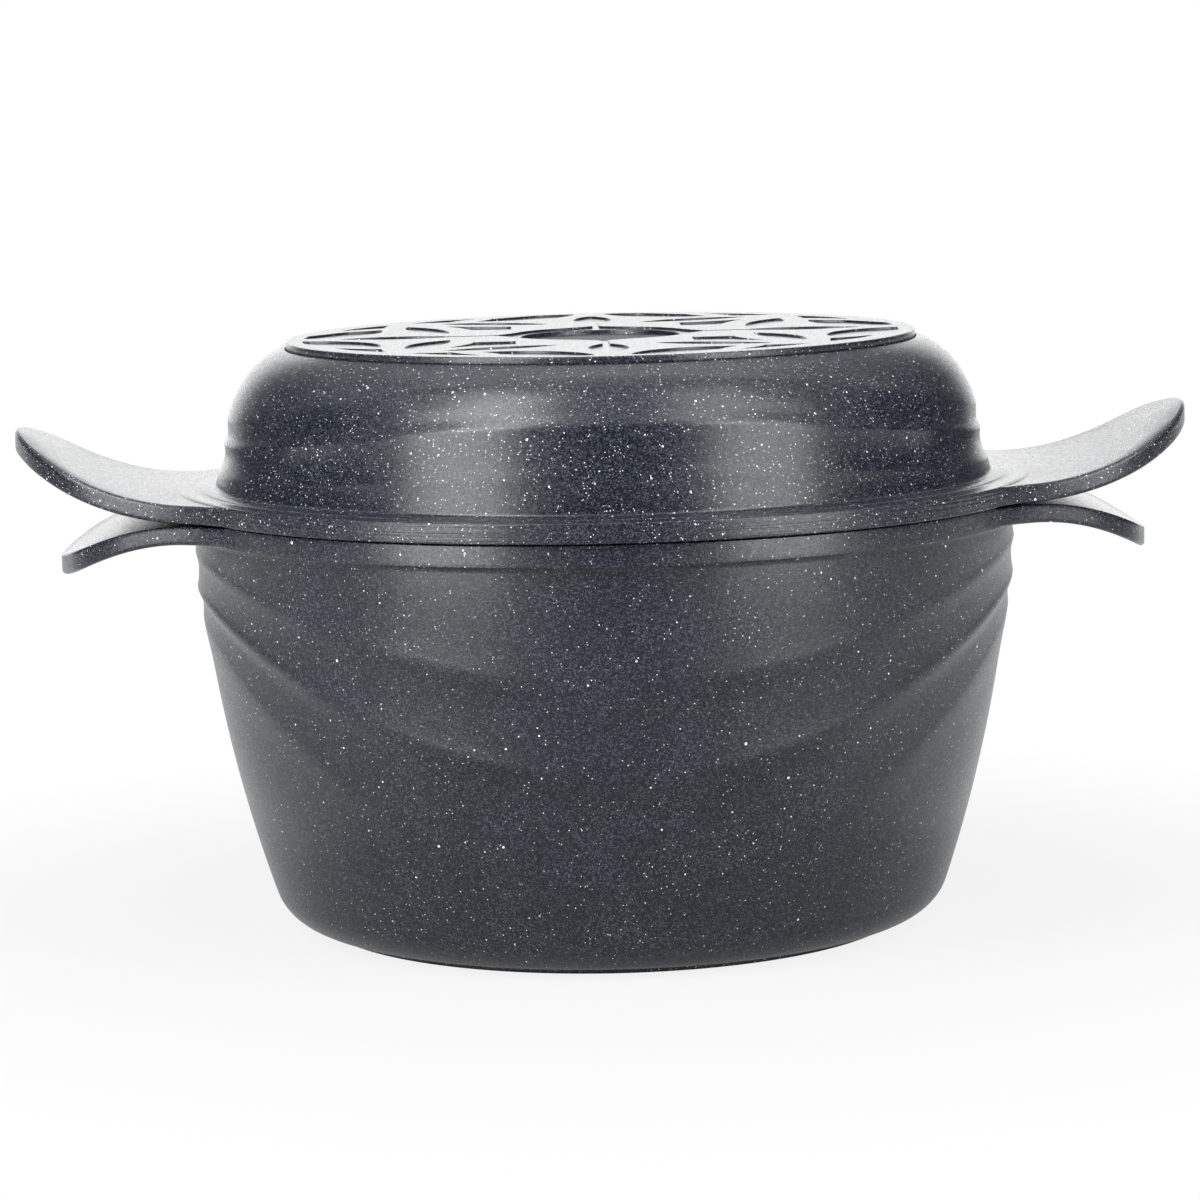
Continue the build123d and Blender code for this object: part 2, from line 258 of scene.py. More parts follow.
class CastingEdge:
    """A ring that flares out into two bent wings, with the columns of the mesh spread along its outline. Its
    rows take up all the rings of the casting."""

    def __init__(self, radius, thickness, top, wing_length, outline, bend_radius, bend_side):
        self.radius = radius
        self.ring_top = top
        self.ring_low = top - thickness
        self.wing_middle = top - WING_DROP - WING_THICKNESS / 2
        self.bend_radius, self.bend_side = bend_radius, bend_side
        self.rows = []
        inside = radius - ROOT_OVERLAP
        root = (inside * cos(WING_FLARE), inside * sin(WING_FLARE))
        knots = [root]
        knots += [(radius + wing_length * along, WING_HALF_WIDTH * across) for along, across in outline]
        knots.append((radius + wing_length, 0.0))
        wing = spline_through(knots, (sin(WING_FLARE), -cos(WING_FLARE)), (0.0, -1.0))
        self.place_columns(wing, COLUMNS // 4)

    def place_columns(self, wing, count):
        """Places the columns of a quarter of the outline, then mirrors them."""
        wing_angle = np.arctan2(wing[:, 1], wing[:, 0])[::-1]
        wing_reach = np.hypot(wing[:, 0], wing[:, 1])[::-1]
        turn = np.linspace(0.0, pi / 2, 20001)
        reach = np.maximum(np.interp(turn, wing_angle, wing_reach, right=0.0), self.radius)
        steps = np.hypot(np.diff(reach * np.cos(turn)), np.diff(reach * np.sin(turn)))
        length = np.concatenate(([0.0], np.cumsum(steps)))
        stops = np.linspace(0.0, length[-1], count + 1)
        turn = np.interp(stops, length, turn)
        reach = np.interp(stops, length, reach)
        self.angles = np.concatenate((turn, pi - turn[-2::-1], pi + turn[1:], 2 * pi - turn[-2:0:-1]))
        self.reach = np.concatenate((reach, reach[-2::-1], reach[1:], reach[-2:0:-1]))
        self.outline = flat_points(self.angles, self.reach)
        along = np.roll(self.outline, -1, axis=0) - np.roll(self.outline, 1, axis=0)
        along /= np.linalg.norm(along, axis=1)[:, None]
        self.outward = np.stack((along[:, 1], -along[:, 0]), axis=1)
        self.winged = smooth_step(0.0, WING_BLEND, self.reach - self.radius)
        self.rounding = RING_ROUNDING + (WING_ROUNDING - RING_ROUNDING) * self.winged

    def add(self, reach, height):
        """Adds a ring of points to the casting."""
        self.rows.append(ring(self.angles, reach, height))

    def bent(self, x, offset):
        """Height of the bent plate at an offset above the middle of its thickness."""
        run = np.maximum(np.abs(x) - BEND_START, 0.0)
        face_radius = self.bend_radius - self.bend_side * offset
        curved = np.minimum(run, face_radius * sin(WING_BEND))
        rise = self.bend_radius - np.sqrt(face_radius**2 - curved**2) + (run - curved) * tan(WING_BEND)
        return self.wing_middle + self.bend_side * rise

    def height_at(self, point, upper):
        """Height of the upper or the lower face."""
        reach = np.hypot(point[:, 0], point[:, 1])
        ring = 1 - smooth_step(self.radius + STEP_START, self.radius + STEP_END, reach)
        wing = self.bent(point[:, 0], WING_THICKNESS / 2 if upper else -WING_THICKNESS / 2)
        if upper:
            return wing + np.maximum(self.ring_top - wing, 0.0) * ring
        return wing - np.maximum(wing - self.ring_low, 0.0) * ring

    def face_rows(self, start, upper, steps):
        """Rows across a face, from the radii in start out to where the edge is rounded."""
        inner = flat_points(self.angles, start)
        outer = self.outline - self.outward * self.rounding[:, None]
        end = self.reach - self.rounding
        first, *inner_steps, last = STEP_ROWS
        shares = np.linspace(0.0, 1.0, steps + 1)
        margin = 3.0
        plain = [start + (end - margin - start) * share for share in shares]
        plain += [end - margin + margin * share for share in (0.15, 0.3, 0.45, 0.6, 0.75, 0.9, 1.0)]
        wing = [start + (self.radius + first - start) * share for share in shares]
        wing += [np.full_like(start, self.radius + shift) for shift in inner_steps]
        beyond = end - self.radius - last
        wing += [self.radius + last + beyond * share for share in (0.0, 0.25, 0.5, 0.75, 1.0)]
        rows = []
        for plain_reach, wing_reach in zip(plain, wing):
            reach = plain_reach + (wing_reach - plain_reach) * self.winged
            share = ((reach - start) / (end - start))[:, None]
            point = inner + (outer - inner) * share
            rows.append(np.column_stack((point, self.height_at(point, upper))))
        return rows

    def edge_rows(self):
        """Rows up the rounded edge, from the lower face to the upper."""
        rounding = self.rounding
        inset = self.outline - self.outward * rounding[:, None]
        low, top = self.height_at(inset, False), self.height_at(inset, True)
        turns = np.linspace(0.0, pi / 2, 7)
        places = [(rounding * (1 - sin(turn)), low + rounding * (1 - cos(turn))) for turn in turns[1:]]
        for share in (0.25, 0.5, 0.75):
            places.append((0 * rounding, low + rounding + (top - low - 2 * rounding) * share))
        places += [(rounding * (1 - cos(turn)), top - rounding * (1 - sin(turn))) for turn in turns[:-1]]
        return [np.column_stack((self.outline - self.outward * inset[:, None], z)) for inset, z in places]


# Meshes


def flat_points(angles, radius):
    """Points at given angles and radii."""
    return np.stack((radius * np.cos(angles), radius * np.sin(angles)), axis=1)


def ring(angles, radius, height):
    """A ring of points, whose radius and height may differ from column to column."""
    radius = np.broadcast_to(radius, angles.shape)
    return np.column_stack((flat_points(angles, radius), np.broadcast_to(height, angles.shape)))


def new_object(name, data):
    """Adds an object to the scene."""
    made = bpy.data.objects.new(name, data)
    bpy.context.scene.collection.objects.link(made)
    return made


def sound_piece(name, mesh):
    """A piece from a mesh, which must have no faces that can't be kept."""
    if mesh.validate():
        raise RuntimeError(f"{name} has faces that can't be kept")
    return new_object(name, mesh)


def turned_mesh(name, rows, first_height, last_height, material):
    """Joins rings in millimetres into one closed mesh in metres, with a point on the axis at each end."""
    columns = len(rows[0])
    ends = np.array([[0.0, 0.0, first_height], [0.0, 0.0, last_height]])
    points = np.concatenate(rows + [ends]) * MILLIMETRE
    column = np.arange(columns)
    ahead = np.roll(column, -1)
    row = (np.arange(len(rows) - 1) * columns)[:, None]
    next_row = row + columns
    quads = np.stack((row + column, row + ahead, next_row + ahead, next_row + column), axis=2).reshape(-1, 4)
    first = np.full(columns, len(rows) * columns)
    first_fan = np.stack((first, ahead, column), axis=1)
    last_row = (len(rows) - 1) * columns
    last_fan = np.stack((first + 1, last_row + column, last_row + ahead), axis=1)
    triangles = np.concatenate((first_fan, last_fan))
    mesh = bpy.data.meshes.new(name)
    mesh.vertices.add(len(points))
    mesh.vertices.foreach_set("co", points.astype(np.float32).ravel())
    corners = np.concatenate((quads.ravel(), triangles.ravel())).astype(np.int32)
    mesh.loops.add(len(corners))
    mesh.loops.foreach_set("vertex_index", corners)
    starts = np.concatenate((np.arange(len(quads)) * 4, len(quads) * 4 + np.arange(len(triangles)) * 3))
    mesh.polygons.add(len(starts))
    mesh.polygons.foreach_set("loop_start", starts.astype(np.int32))
    mesh.polygons.foreach_set("use_smooth", np.ones(len(starts), dtype=bool))
    mesh.materials.append(material)
    mesh.update(calc_edges=True)
    return sound_piece(name, mesh)


def add_piece(piece, body, node):
    """Lets a piece ride on its body, in the place of its node."""
    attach(piece, body)
    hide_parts(node)


# Coating

# Speckles of three sizes: their spacing in shares of the look's, the largest in shares of that spacing, and
# the share of places that have one
SPECKLES = ((1.0, 0.23, 0.05), (0.5, 0.27, 0.15), (2.8, 0.125, 0.08))

# For each finish, how much rougher it is, how uneven, and how its speckles crowd
FINISHES = {
    "pot_coating": (0.0, 0.35, 1.0),
    "pan_coating": (0.0, 0.35, 2.6),
    "stippled_ground": (0.3, 1.0, 1.0),
}
ROUGHEST = 0.9
PEEL_SCALE = 1400.0
PEEL_DEPTH = 0.00008

# The grain: which tones are bright, how they drift from patch to patch, and the spread of its roughness
BRIGHT_GRAINS = ((0.6, 1.0), (0.0, 1.0))
DRIFT_SCALE = 55.0
DRIFT = ((0.3, 0.7), (0.75, 1.25))
ROUGHNESS_SPREAD = 0.08

# The turned lines round the flange's edge: the middle and half the width of their band, across and in height,
# and how they are drawn out and show
LATHE_REACH = (0.1522, 0.0009)
LATHE_HEIGHT = (0.1562, 0.0031)
LATHE_DRAW = (9.0, 9.0, 1300.0)
LATHE_STRENGTH = 0.8
LATHE_DEPTH = 0.0003


def node_of(tree, kind, inputs=(), **settings):
    """Adds a shader node, sets it up and links or sets its inputs."""
    node = tree.nodes.new("ShaderNode" + kind)
    for setting, value in settings.items():
        setattr(node, setting, value)
    for name, value in dict(inputs).items():
        if isinstance(value, bpy.types.NodeSocket):
            tree.links.new(value, node.inputs[name])
        else:
            node.inputs[name].default_value = value
    return node


def mapped(tree, value, given, wanted, kind="LINEAR"):
    """Maps a value from one range to another, and holds it there."""
    inputs = dict(enumerate((value, *given, *wanted)))
    return node_of(tree, "MapRange", inputs, interpolation_type=kind).outputs["Result"]


def worked_out(tree, operation, *values):
    """Result of one step of arithmetic."""
    return node_of(tree, "Math", dict(enumerate(values)), operation=operation).outputs["Value"]


def stretched(tree, place, factors):
    """A place multiplied by one factor for each axis."""
    inputs = {0: place, 1: factors}
    return node_of(tree, "VectorMath", inputs, operation="MULTIPLY").outputs["Vector"]


def distance_out(tree, place):
    """Distance of a place from the origin."""
    return node_of(tree, "VectorMath", {0: place}, operation="LENGTH").outputs["Value"]


def mixed_colour(tree, share, first, second):
    """Mixes two colours by the second's share."""
    return node_of(tree, "Mix", {0: share, 6: first, 7: second}, data_type="RGBA").outputs[2]


def new_material(name):
    """An empty node material and its tree."""
    material = bpy.data.materials.new(name)
    material.use_nodes = True
    material.node_tree.nodes.clear()
    return material, material.node_tree


def speckle_mask(tree, place, spacing, largest, share):
    """White discs of many sizes, one in each of a share of the cells of a scattered pattern."""
    cells = node_of(tree, "TexVoronoi", {"Vector": place, "Scale": 1.0 / spacing})
    tone = node_of(tree, "SeparateColor", {"Color": cells.outputs["Color"]})
    size = mapped(tree, tone.outputs["Green"], (1.0 - share, 1.0), (0.0, largest))
    return worked_out(tree, "LESS_THAN", cells.outputs["Distance"], size)


def lathe_lines(tree, place):
    """Height of the fine lines left by the turning tool round the flange's edge, and 0 elsewhere."""
    height = node_of(tree, "SeparateXYZ", {0: place}).outputs["Z"]
    reach = distance_out(tree, stretched(tree, place, (1.0, 1.0, 0.0)))
    inside = worked_out(tree, "COMPARE", reach, *LATHE_REACH)
    beside = worked_out(tree, "COMPARE", height, *LATHE_HEIGHT)
    edge = worked_out(tree, "MULTIPLY", inside, beside)
    drawn = stretched(tree, place, LATHE_DRAW)
    lines = node_of(tree, "TexNoise", {"Vector": drawn, "Scale": 1.0, "Detail": 3.0})
    return worked_out(tree, "MULTIPLY", lines.outputs["Fac"], edge)


def speckled_coating(name, look, roughness, unevenness, crowding):
    """Charcoal coating with fine metallic grain and pale speckles, which lie closer with more crowding."""
    material, tree = new_material(name)
    place = node_of(tree, "TexCoord").outputs["Object"]
    grain = node_of(tree, "TexVoronoi", {"Vector": place, "Scale": 1.0 / look.grain_size})
    grain_tone = node_of(tree, "SeparateColor", {"Color": grain.outputs["Color"]})
    patches = node_of(tree, "TexNoise", {"Vector": place, "Scale": DRIFT_SCALE, "Detail": 3.0})
    bright_grain = mapped(tree, grain_tone.outputs["Red"], *BRIGHT_GRAINS)
    drift = mapped(tree, patches.outputs["Fac"], *DRIFT)
    grain_share = worked_out(tree, "MULTIPLY", bright_grain, drift)
    ground = mixed_colour(tree, grain_share, (*look.colour, 1.0), (*look.grain_colour, 1.0))
    masks = [
        speckle_mask(tree, place, look.speckle_spacing * spacing, largest, share * crowding)
        for spacing, largest, share in SPECKLES
    ]
    speckles = masks[0]
    for mask in masks[1:]:
        speckles = worked_out(tree, "MAXIMUM", speckles, mask)
    coloured = mixed_colour(tree, speckles, ground, (*look.speckle_colour, 1.0))
    spread = (roughness + ROUGHNESS_SPREAD, roughness - ROUGHNESS_SPREAD)
    rough = mapped(tree, grain_tone.outputs["Blue"], (0.0, 1.0), spread)
    peel = node_of(tree, "TexNoise", {"Vector": place, "Scale": PEEL_SCALE, "Detail": 2.0})
    inputs = {"Height": peel.outputs["Fac"], "Strength": unevenness, "Distance": PEEL_DEPTH}
    normal = node_of(tree, "Bump", inputs).outputs["Normal"]
    lines = lathe_lines(tree, place)
    inputs = {"Height": lines, "Strength": LATHE_STRENGTH, "Distance": LATHE_DEPTH, "Normal": normal}
    normal = node_of(tree, "Bump", inputs).outputs["Normal"]
    inputs = {"Base Color": coloured, "Roughness": rough, "Specular IOR Level": 0.5, "Normal": normal}
    shader = node_of(tree, "BsdfPrincipled", inputs)
    node_of(tree, "OutputMaterial", {"Surface": shader.outputs["BSDF"]})
    return material


def coating(name):
    """One of the finishes, made once."""
    look = bpy.context.scene.coating_look
    rougher, unevenness, crowding = FINISHES[name]
    roughness = min(look.roughness + rougher, ROUGHEST)
    return bpy.data.materials.get(name) or speckled_coating(name, look, roughness, unevenness, crowding)


# Pieces. Each casting is built up of rings: the pot from its underside round to the floor of its hollow, and
# the pan the other way. A count in a linspace is a number of rings.


class BuildPotCasting(bpy.types.Operator):
    """Builds the pot's casting, with its folded wall, rim band and wings"""

    bl_idname = "potware.pot_casting"
    bl_label = "Pot Casting"

    def execute(self, context):
        sizes = context.scene.pot_sizes
        radius = sizes.rim_radius / MILLIMETRE
        top = sizes.height / MILLIMETRE
        band = sizes.band_height / MILLIMETRE
        wall = sizes.wall / MILLIMETRE
        wing = sizes.wing_length / MILLIMETRE
        stand = context.scene.plate_sizes.pot_stand / MILLIMETRE
        edge = CastingEdge(radius, band, top, wing, POT_WING, POT_WING_BEND_RADIUS, -1)
        angles = edge.angles
        underside = top - band
        wall_top = radius - RIM_OVERHANG
        tall = underside - WALL_LOW_HEIGHT
        chord = sqrt(WALL_TAPER**2 + tall**2)
        depth = sqrt(WALL_ARC_RADIUS**2 - (chord / 2) ** 2)
        arc_x = wall_top - WALL_TAPER / 2 - depth * tall / chord
        arc_z = (underside + WALL_LOW_HEIGHT) / 2 + depth * WALL_TAPER / chord

        def corner_centre(rounding, arc, height):
            """Middle of a rounding that runs into the wall's arc, and the height where it does."""
            x = arc_x + sqrt((arc - rounding) ** 2 - (height - arc_z) ** 2)
            return x, arc_z + (height - arc_z) * arc / (arc - rounding)

        def wall_radius(z, arc):
            """Radius of the wall's outer or inner face."""
            return arc_x + np.sqrt(arc**2 - (z - arc_z) ** 2)

        corner = FOOT_CORNER
        foot_x, foot_top = corner_centre(corner, WALL_ARC_RADIUS, stand + corner)

        def folded(z):
            """Radii of the outer wall at one height, with its folds."""
            z = np.full_like(angles, z)
            foot = foot_x + np.sqrt(np.maximum(corner**2 - (z - stand - corner) ** 2, 0.0))
            plain = np.where(z > foot_top, wall_radius(z, WALL_ARC_RADIUS), foot)
            x = plain * np.cos(angles)
            ridges = [(height + climb * x**2, out * sizes.fold_depth) for height, climb, out in POT_FOLDS]
            return plain + folds_out(z, ridges, underside, stand)

        rows, add = edge.rows, edge.add
        seat = foot_x - POT_SEAT_MARGIN
        for share in (0.33, 0.66, 1.0):
            add(share * seat, stand + PLATE_SEAT)
        add(seat, stand)
        for turn in np.linspace(-pi / 2, asin((foot_top - stand - corner) / corner), 16):
            height = stand + corner + corner * sin(turn)
            add(folded(height), height)
        wall_end = underside - BAND_UNDERCUT
        for height in np.linspace(foot_top, wall_end, 120)[1:]:
            add(folded(height), height)
        under_band = folded(wall_end) + BAND_UNDERCUT
        add(under_band - 0.7, underside - SMALL_EDGE)
        rows += edge.face_rows(under_band, False, 2)
        rows += edge.edge_rows()
        inner_arc = WALL_ARC_RADIUS - wall
        mouth = wall_radius(top, inner_arc)
        rows += edge.face_rows(np.full_like(angles, mouth + MOUTH_EDGE), True, 4)[::-1]
        add(mouth + 0.4, top - 0.25)
        add(mouth, top - MOUTH_EDGE)
        inner, floor = POT_FLOOR_CORNER, stand + POT_BASE_THICKNESS
        inner_x, inner_top = corner_centre(inner, inner_arc, floor + inner)
        for height in np.linspace(top - MOUTH_EDGE, inner_top, 30)[1:]:
            add(wall_radius(height, inner_arc), height)
        for turn in np.linspace(asin((inner_top - floor - inner) / inner), -pi / 2, 12)[1:]:
            add(inner_x + inner * cos(turn), floor + inner * (1 + sin(turn)))
        for share in (0.75, 0.5, 0.25, 0.08):
            add(share * inner_x, floor)
        piece = turned_mesh("pot_casting", rows, stand + PLATE_SEAT, floor, coating("pot_coating"))
        add_piece(piece, "pot", "pot_body")
        return {"FINISHED"}


class BuildPanCasting(bpy.types.Operator):
    """Builds the casting of the frying pan that lies upside down on the pot"""

    bl_idname = "potware.pan_casting"
    bl_label = "Frying Pan Casting"

    def execute(self, context):
        sizes = context.scene.pan_sizes
        low = context.scene.pot_sizes.height / MILLIMETRE
        radius = sizes.flange_radius / MILLIMETRE
        thickness = sizes.flange_thickness / MILLIMETRE
        wall = sizes.wall / MILLIMETRE
        wing = sizes.wing_length / MILLIMETRE
        top = low + thickness
        foot = low + sizes.casting_height / MILLIMETRE
        edge = CastingEdge(radius, thickness - JOIN_GAP, top, wing, PAN_WING, PAN_WING_BEND_RADIUS, 1)
        angles = edge.angles
        shoulder, draft, wall_foot = PAN_SHOULDER, PAN_DRAFT, radius - PAN_FLANGE_WIDTH

        def slope(z, inset=0.0):
            """Radius of the leaning wall, or of a face parallel to it."""
            return wall_foot - (z - top) * tan(draft) - inset / cos(draft)

        shoulder_z = foot - shoulder * sin(PAN_SHOULDER_END)
        shoulder_x = slope(shoulder_z, shoulder)
        slope_end = shoulder_z + shoulder * sin(draft)

        def folded(z):
            """Radii of the outer wall at one height, with its folds and flares."""
            z = np.full_like(angles, z)
            curve = shoulder_x + np.sqrt(np.maximum(shoulder**2 - (z - shoulder_z) ** 2, 0.0))
            plain = np.where(z < slope_end, slope(z), curve)
            x = plain * np.cos(angles)
            ridges = [(low + height - fall * x**2, out * sizes.fold_depth) for height, fall, out in PAN_FOLDS]
            beside_wing = smooth_step(FLARE_START, FLARE_END, np.abs(x))
            flare = SIDE_FLARE * beside_wing * np.exp(-(((z - top) / FLARE_HEIGHT) ** 2))
            return plain + folds_out(z, ridges, top, foot) + flare

        corner = PAN_FLOOR_CORNER
        floor = foot - PAN_BASE_THICKNESS
        corner_z = floor - corner
        corner_x = slope(corner_z, wall + corner)
        rows, add = edge.rows, edge.add
        for share in (0.08, 0.25, 0.5, 0.75):
            add(share * corner_x, floor)
        for turn in np.linspace(pi / 2, draft, 12):
            add(corner_x + corner * cos(turn), corner_z + corner * sin(turn))
        for height in np.linspace(corner_z + corner * sin(draft), low + 0.5, 10)[1:]:
            add(slope(height, wall), height)
        bead_in, bead_low = BEAD_RADIUS - BEAD_WIDTH, low - BEAD_DEPTH
        add(slope(low, wall) + 0.5, low)
        add(bead_in - SMALL_EDGE, low)
        add(bead_in, low - SMALL_EDGE)
        add(bead_in, bead_low + SMALL_EDGE)
        add(bead_in + SMALL_EDGE, bead_low)
        for turn in np.linspace(0.0, pi / 2, 6):
            inset, rise = BEAD_ROUNDING * (1 - sin(turn)), BEAD_ROUNDING * (1 - cos(turn))
            add(BEAD_RADIUS - inset, bead_low + rise)
        add(BEAD_RADIUS, low - SMALL_EDGE)
        add(JOIN_RADIUS - SMALL_EDGE, low)
        add(JOIN_RADIUS, low + 0.2)
        rows += edge.face_rows(np.full_like(angles, JOIN_RADIUS + 0.2), False, 2)
        rows += edge.edge_rows()
        wall_start = folded(top + LAND_FILLET)
        rows += edge.face_rows(np.full_like(angles, LAND_RADIUS + 0.2), True, 3)[::-1]
        add(LAND_RADIUS, top + LAND_HEIGHT * 0.6)
        add(LAND_RADIUS - SMALL_EDGE, top + LAND_HEIGHT)
        add(wall_start + 1.0, top + LAND_HEIGHT)
        add(wall_start + 0.35, top + LAND_HEIGHT + 0.2)
        for height in np.linspace(top + LAND_FILLET, slope_end, 34):
            add(folded(height), height)
        for turn in np.linspace(draft, PAN_SHOULDER_END, 46)[1:]:
            height = shoulder_z + shoulder * sin(turn)
            add(folded(height), height)
        seat = shoulder_x + shoulder * cos(PAN_SHOULDER_END) - PAN_SEAT_MARGIN
        add(seat + 0.2, foot)
        add(seat, foot - 0.2)
        for share in (1.0, 0.66, 0.33):
            add(share * seat, foot - PLATE_SEAT)
        piece = turned_mesh("pan_casting", rows, floor, foot - PLATE_SEAT, coating("pan_coating"))
        add_piece(piece, "lid_pan", "pan_lid_body")
        return {"FINISHED"}


# Relief of the base plates: sunken fields between raised strips, as in an old eight-petalled rosette. An
# outline lists corners and, between them, the middle of the arc that joins them, or None where the edge is
# straight. All are shares of a plate's radius, in the eighth of the plate above the X axis.
MEDALLION = 0.2535
COLLAR = 0.286
STEM_HALF_WIDTH = 0.011
STEM_STOPS = (0.338, 0.38, 0.42, 0.462)
STEM_CLEARANCE = 0.0132
LEAF_FOOT = ((0.254, 0.132), (0.297, 0.056), (0.342, 0.0))
LEAF = ((0.458, 0.0), (0.614, 0.061), (0.827, 0.0))
KITE = ((0.276, 0.276), None, (0.276, 0.405), (0.374, 0.432))
KITE += ((0.486, 0.486), (0.432, 0.374), (0.405, 0.276), None)
INNER_PETAL = ((0.48, 0.151), (0.609, 0.338), (0.612, 0.503), (0.494, 0.306))
OUTER_PETAL = ((0.943, 0.052), (0.941, 0.116), (0.93, 0.178), None)
OUTER_PETAL += ((0.814, 0.329), (0.756, 0.351), (0.701, 0.387), (0.748, 0.166))
RIM_PETAL = ((0.832, 0.385), (0.77, 0.504), (0.679, 0.599), None, (0.692, 0.474), (0.765, 0.438))

# Distance between the points of the outlines, in millimetres, and the room left at a corner, in such steps
# and as a largest share. The last holds back sharp corners as they move.
RELIEF_STEP = 0.7
CORNER_ROOM = 3.4
LARGEST_ROOM = 0.3
CORNER_HOLD = 0.12

# How the wall of a field falls: the distance inwards from its outline and the share of its depth, with
# rounded edges above and below. Distances are in millimetres.
WALL_STEPS = ((-0.25, 0.0), (-0.1, 0.03), (-0.02, 0.14), (0.04, 0.5), (0.1, 0.86), (0.17, 0.97), (0.26, 1.0))


def along_arc(start, middle, end, step):
    """Points from start up to end, along the arc through middle or a straight line, with room at its ends."""
    start, end = np.array(start), np.array(end)
    if middle is None:
        length = np.linalg.norm(end - start)
        return [start + (end - start) * share for share in spread_shares(length, step)]
    middle = np.array(middle)
    to_middle, to_end = middle - start, end - start
    turn = 2 * (to_middle[0] * to_end[1] - to_middle[1] * to_end[0])
    square_middle, square_end = to_middle @ to_middle, to_end @ to_end
    centre_x = (to_end[1] * square_middle - to_middle[1] * square_end) / turn
    centre_y = (to_middle[0] * square_end - to_end[0] * square_middle) / turn
    centre = start + np.array((centre_x, centre_y))
    radius = np.linalg.norm(start - centre)
    angles = [np.arctan2(*(point - centre)[::-1]) for point in (start, middle, end)]
    sweep = (angles[2] - angles[0]) % (2 * pi)
    if (angles[1] - angles[0]) % (2 * pi) > sweep:
        sweep -= 2 * pi
    turns = angles[0] + sweep * spread_shares(abs(sweep) * radius, step)
    return [centre + radius * np.array((cos(turn), sin(turn))) for turn in turns]


def spread_shares(length, step):
    """Shares of a length, from 0 to short of 1, with room at its ends."""
    margin = min(CORNER_ROOM * step / length, LARGEST_ROOM)
    count = max(2, round((1 - 2 * margin) * length / step))
    return np.concatenate(([0.0], np.linspace(margin, 1 - margin, count)))


def outline_points(outline, step):
    """Points round a closed outline, anticlockwise."""
    corners = outline[::2] + outline[:1]
    points = []
    for start, middle, end in zip(corners, outline[1::2], corners[1:]):
        points += along_arc(start, middle, end, step)
    points = np.array(points)
    ahead = np.roll(points, -1, axis=0)
    area = (points[:, 0] * ahead[:, 1] - ahead[:, 0] * points[:, 1]).sum()
    return points if area > 0 else points[::-1]


def star_points(step):
    """Outline of the collar and the four leaves that join it through narrow stems."""
    start, middle = ((COLLAR * cos(angle), COLLAR * sin(angle)) for angle in (pi / 4, pi / 5))
    collar = along_arc(start, middle, LEAF_FOOT[0], step)
    foot = [point for point in along_arc(*LEAF_FOOT, step / 2) if point[1] > STEM_CLEARANCE]
    leaf = [point for point in along_arc(*LEAF, step / 2) if point[1] > STEM_CLEARANCE]
    stem = [np.array((x, STEM_HALF_WIDTH)) for x in STEM_STOPS]
    eighth = np.array(collar + foot + stem + leaf)
    quarter = np.concatenate((eighth * (1, -1), [LEAF[-1]], eighth[:0:-1]))
    return np.concatenate([turned(quarter, index) for index in range(4)])


def turned(points, quarters):
    """Points turned by a number of right angles."""
    x, y = points[:, 0], points[:, 1]
    return np.stack(((x, y), (-y, x), (-x, -y), (y, -x))[quarters], axis=1)


def field_outlines(step):
    """Outlines of all the fields beside the star."""
    outlines = []
    for index in range(4):
        outlines.append(turned(outline_points(KITE, step), index))
        for petal in (INNER_PETAL, OUTER_PETAL, RIM_PETAL):
            points = outline_points(petal, step)
            outlines.append(turned(points, index))
            outlines.append(turned((points * (1, -1))[::-1], index))
    return outlines


def moved_inwards(points, distance):
    """An anticlockwise outline moved inwards, with its sharp corners kept sharp."""
    ahead = np.roll(points, -1, axis=0) - points
    ahead /= np.linalg.norm(ahead, axis=1)[:, None]
    behind = np.roll(ahead, 1, axis=0)
    inwards = np.stack((-(ahead + behind)[:, 1], (ahead + behind)[:, 0]), axis=1) / 2
    stretch = np.maximum((inwards**2).sum(axis=1), CORNER_HOLD)
    return points + inwards / stretch[:, None] * distance


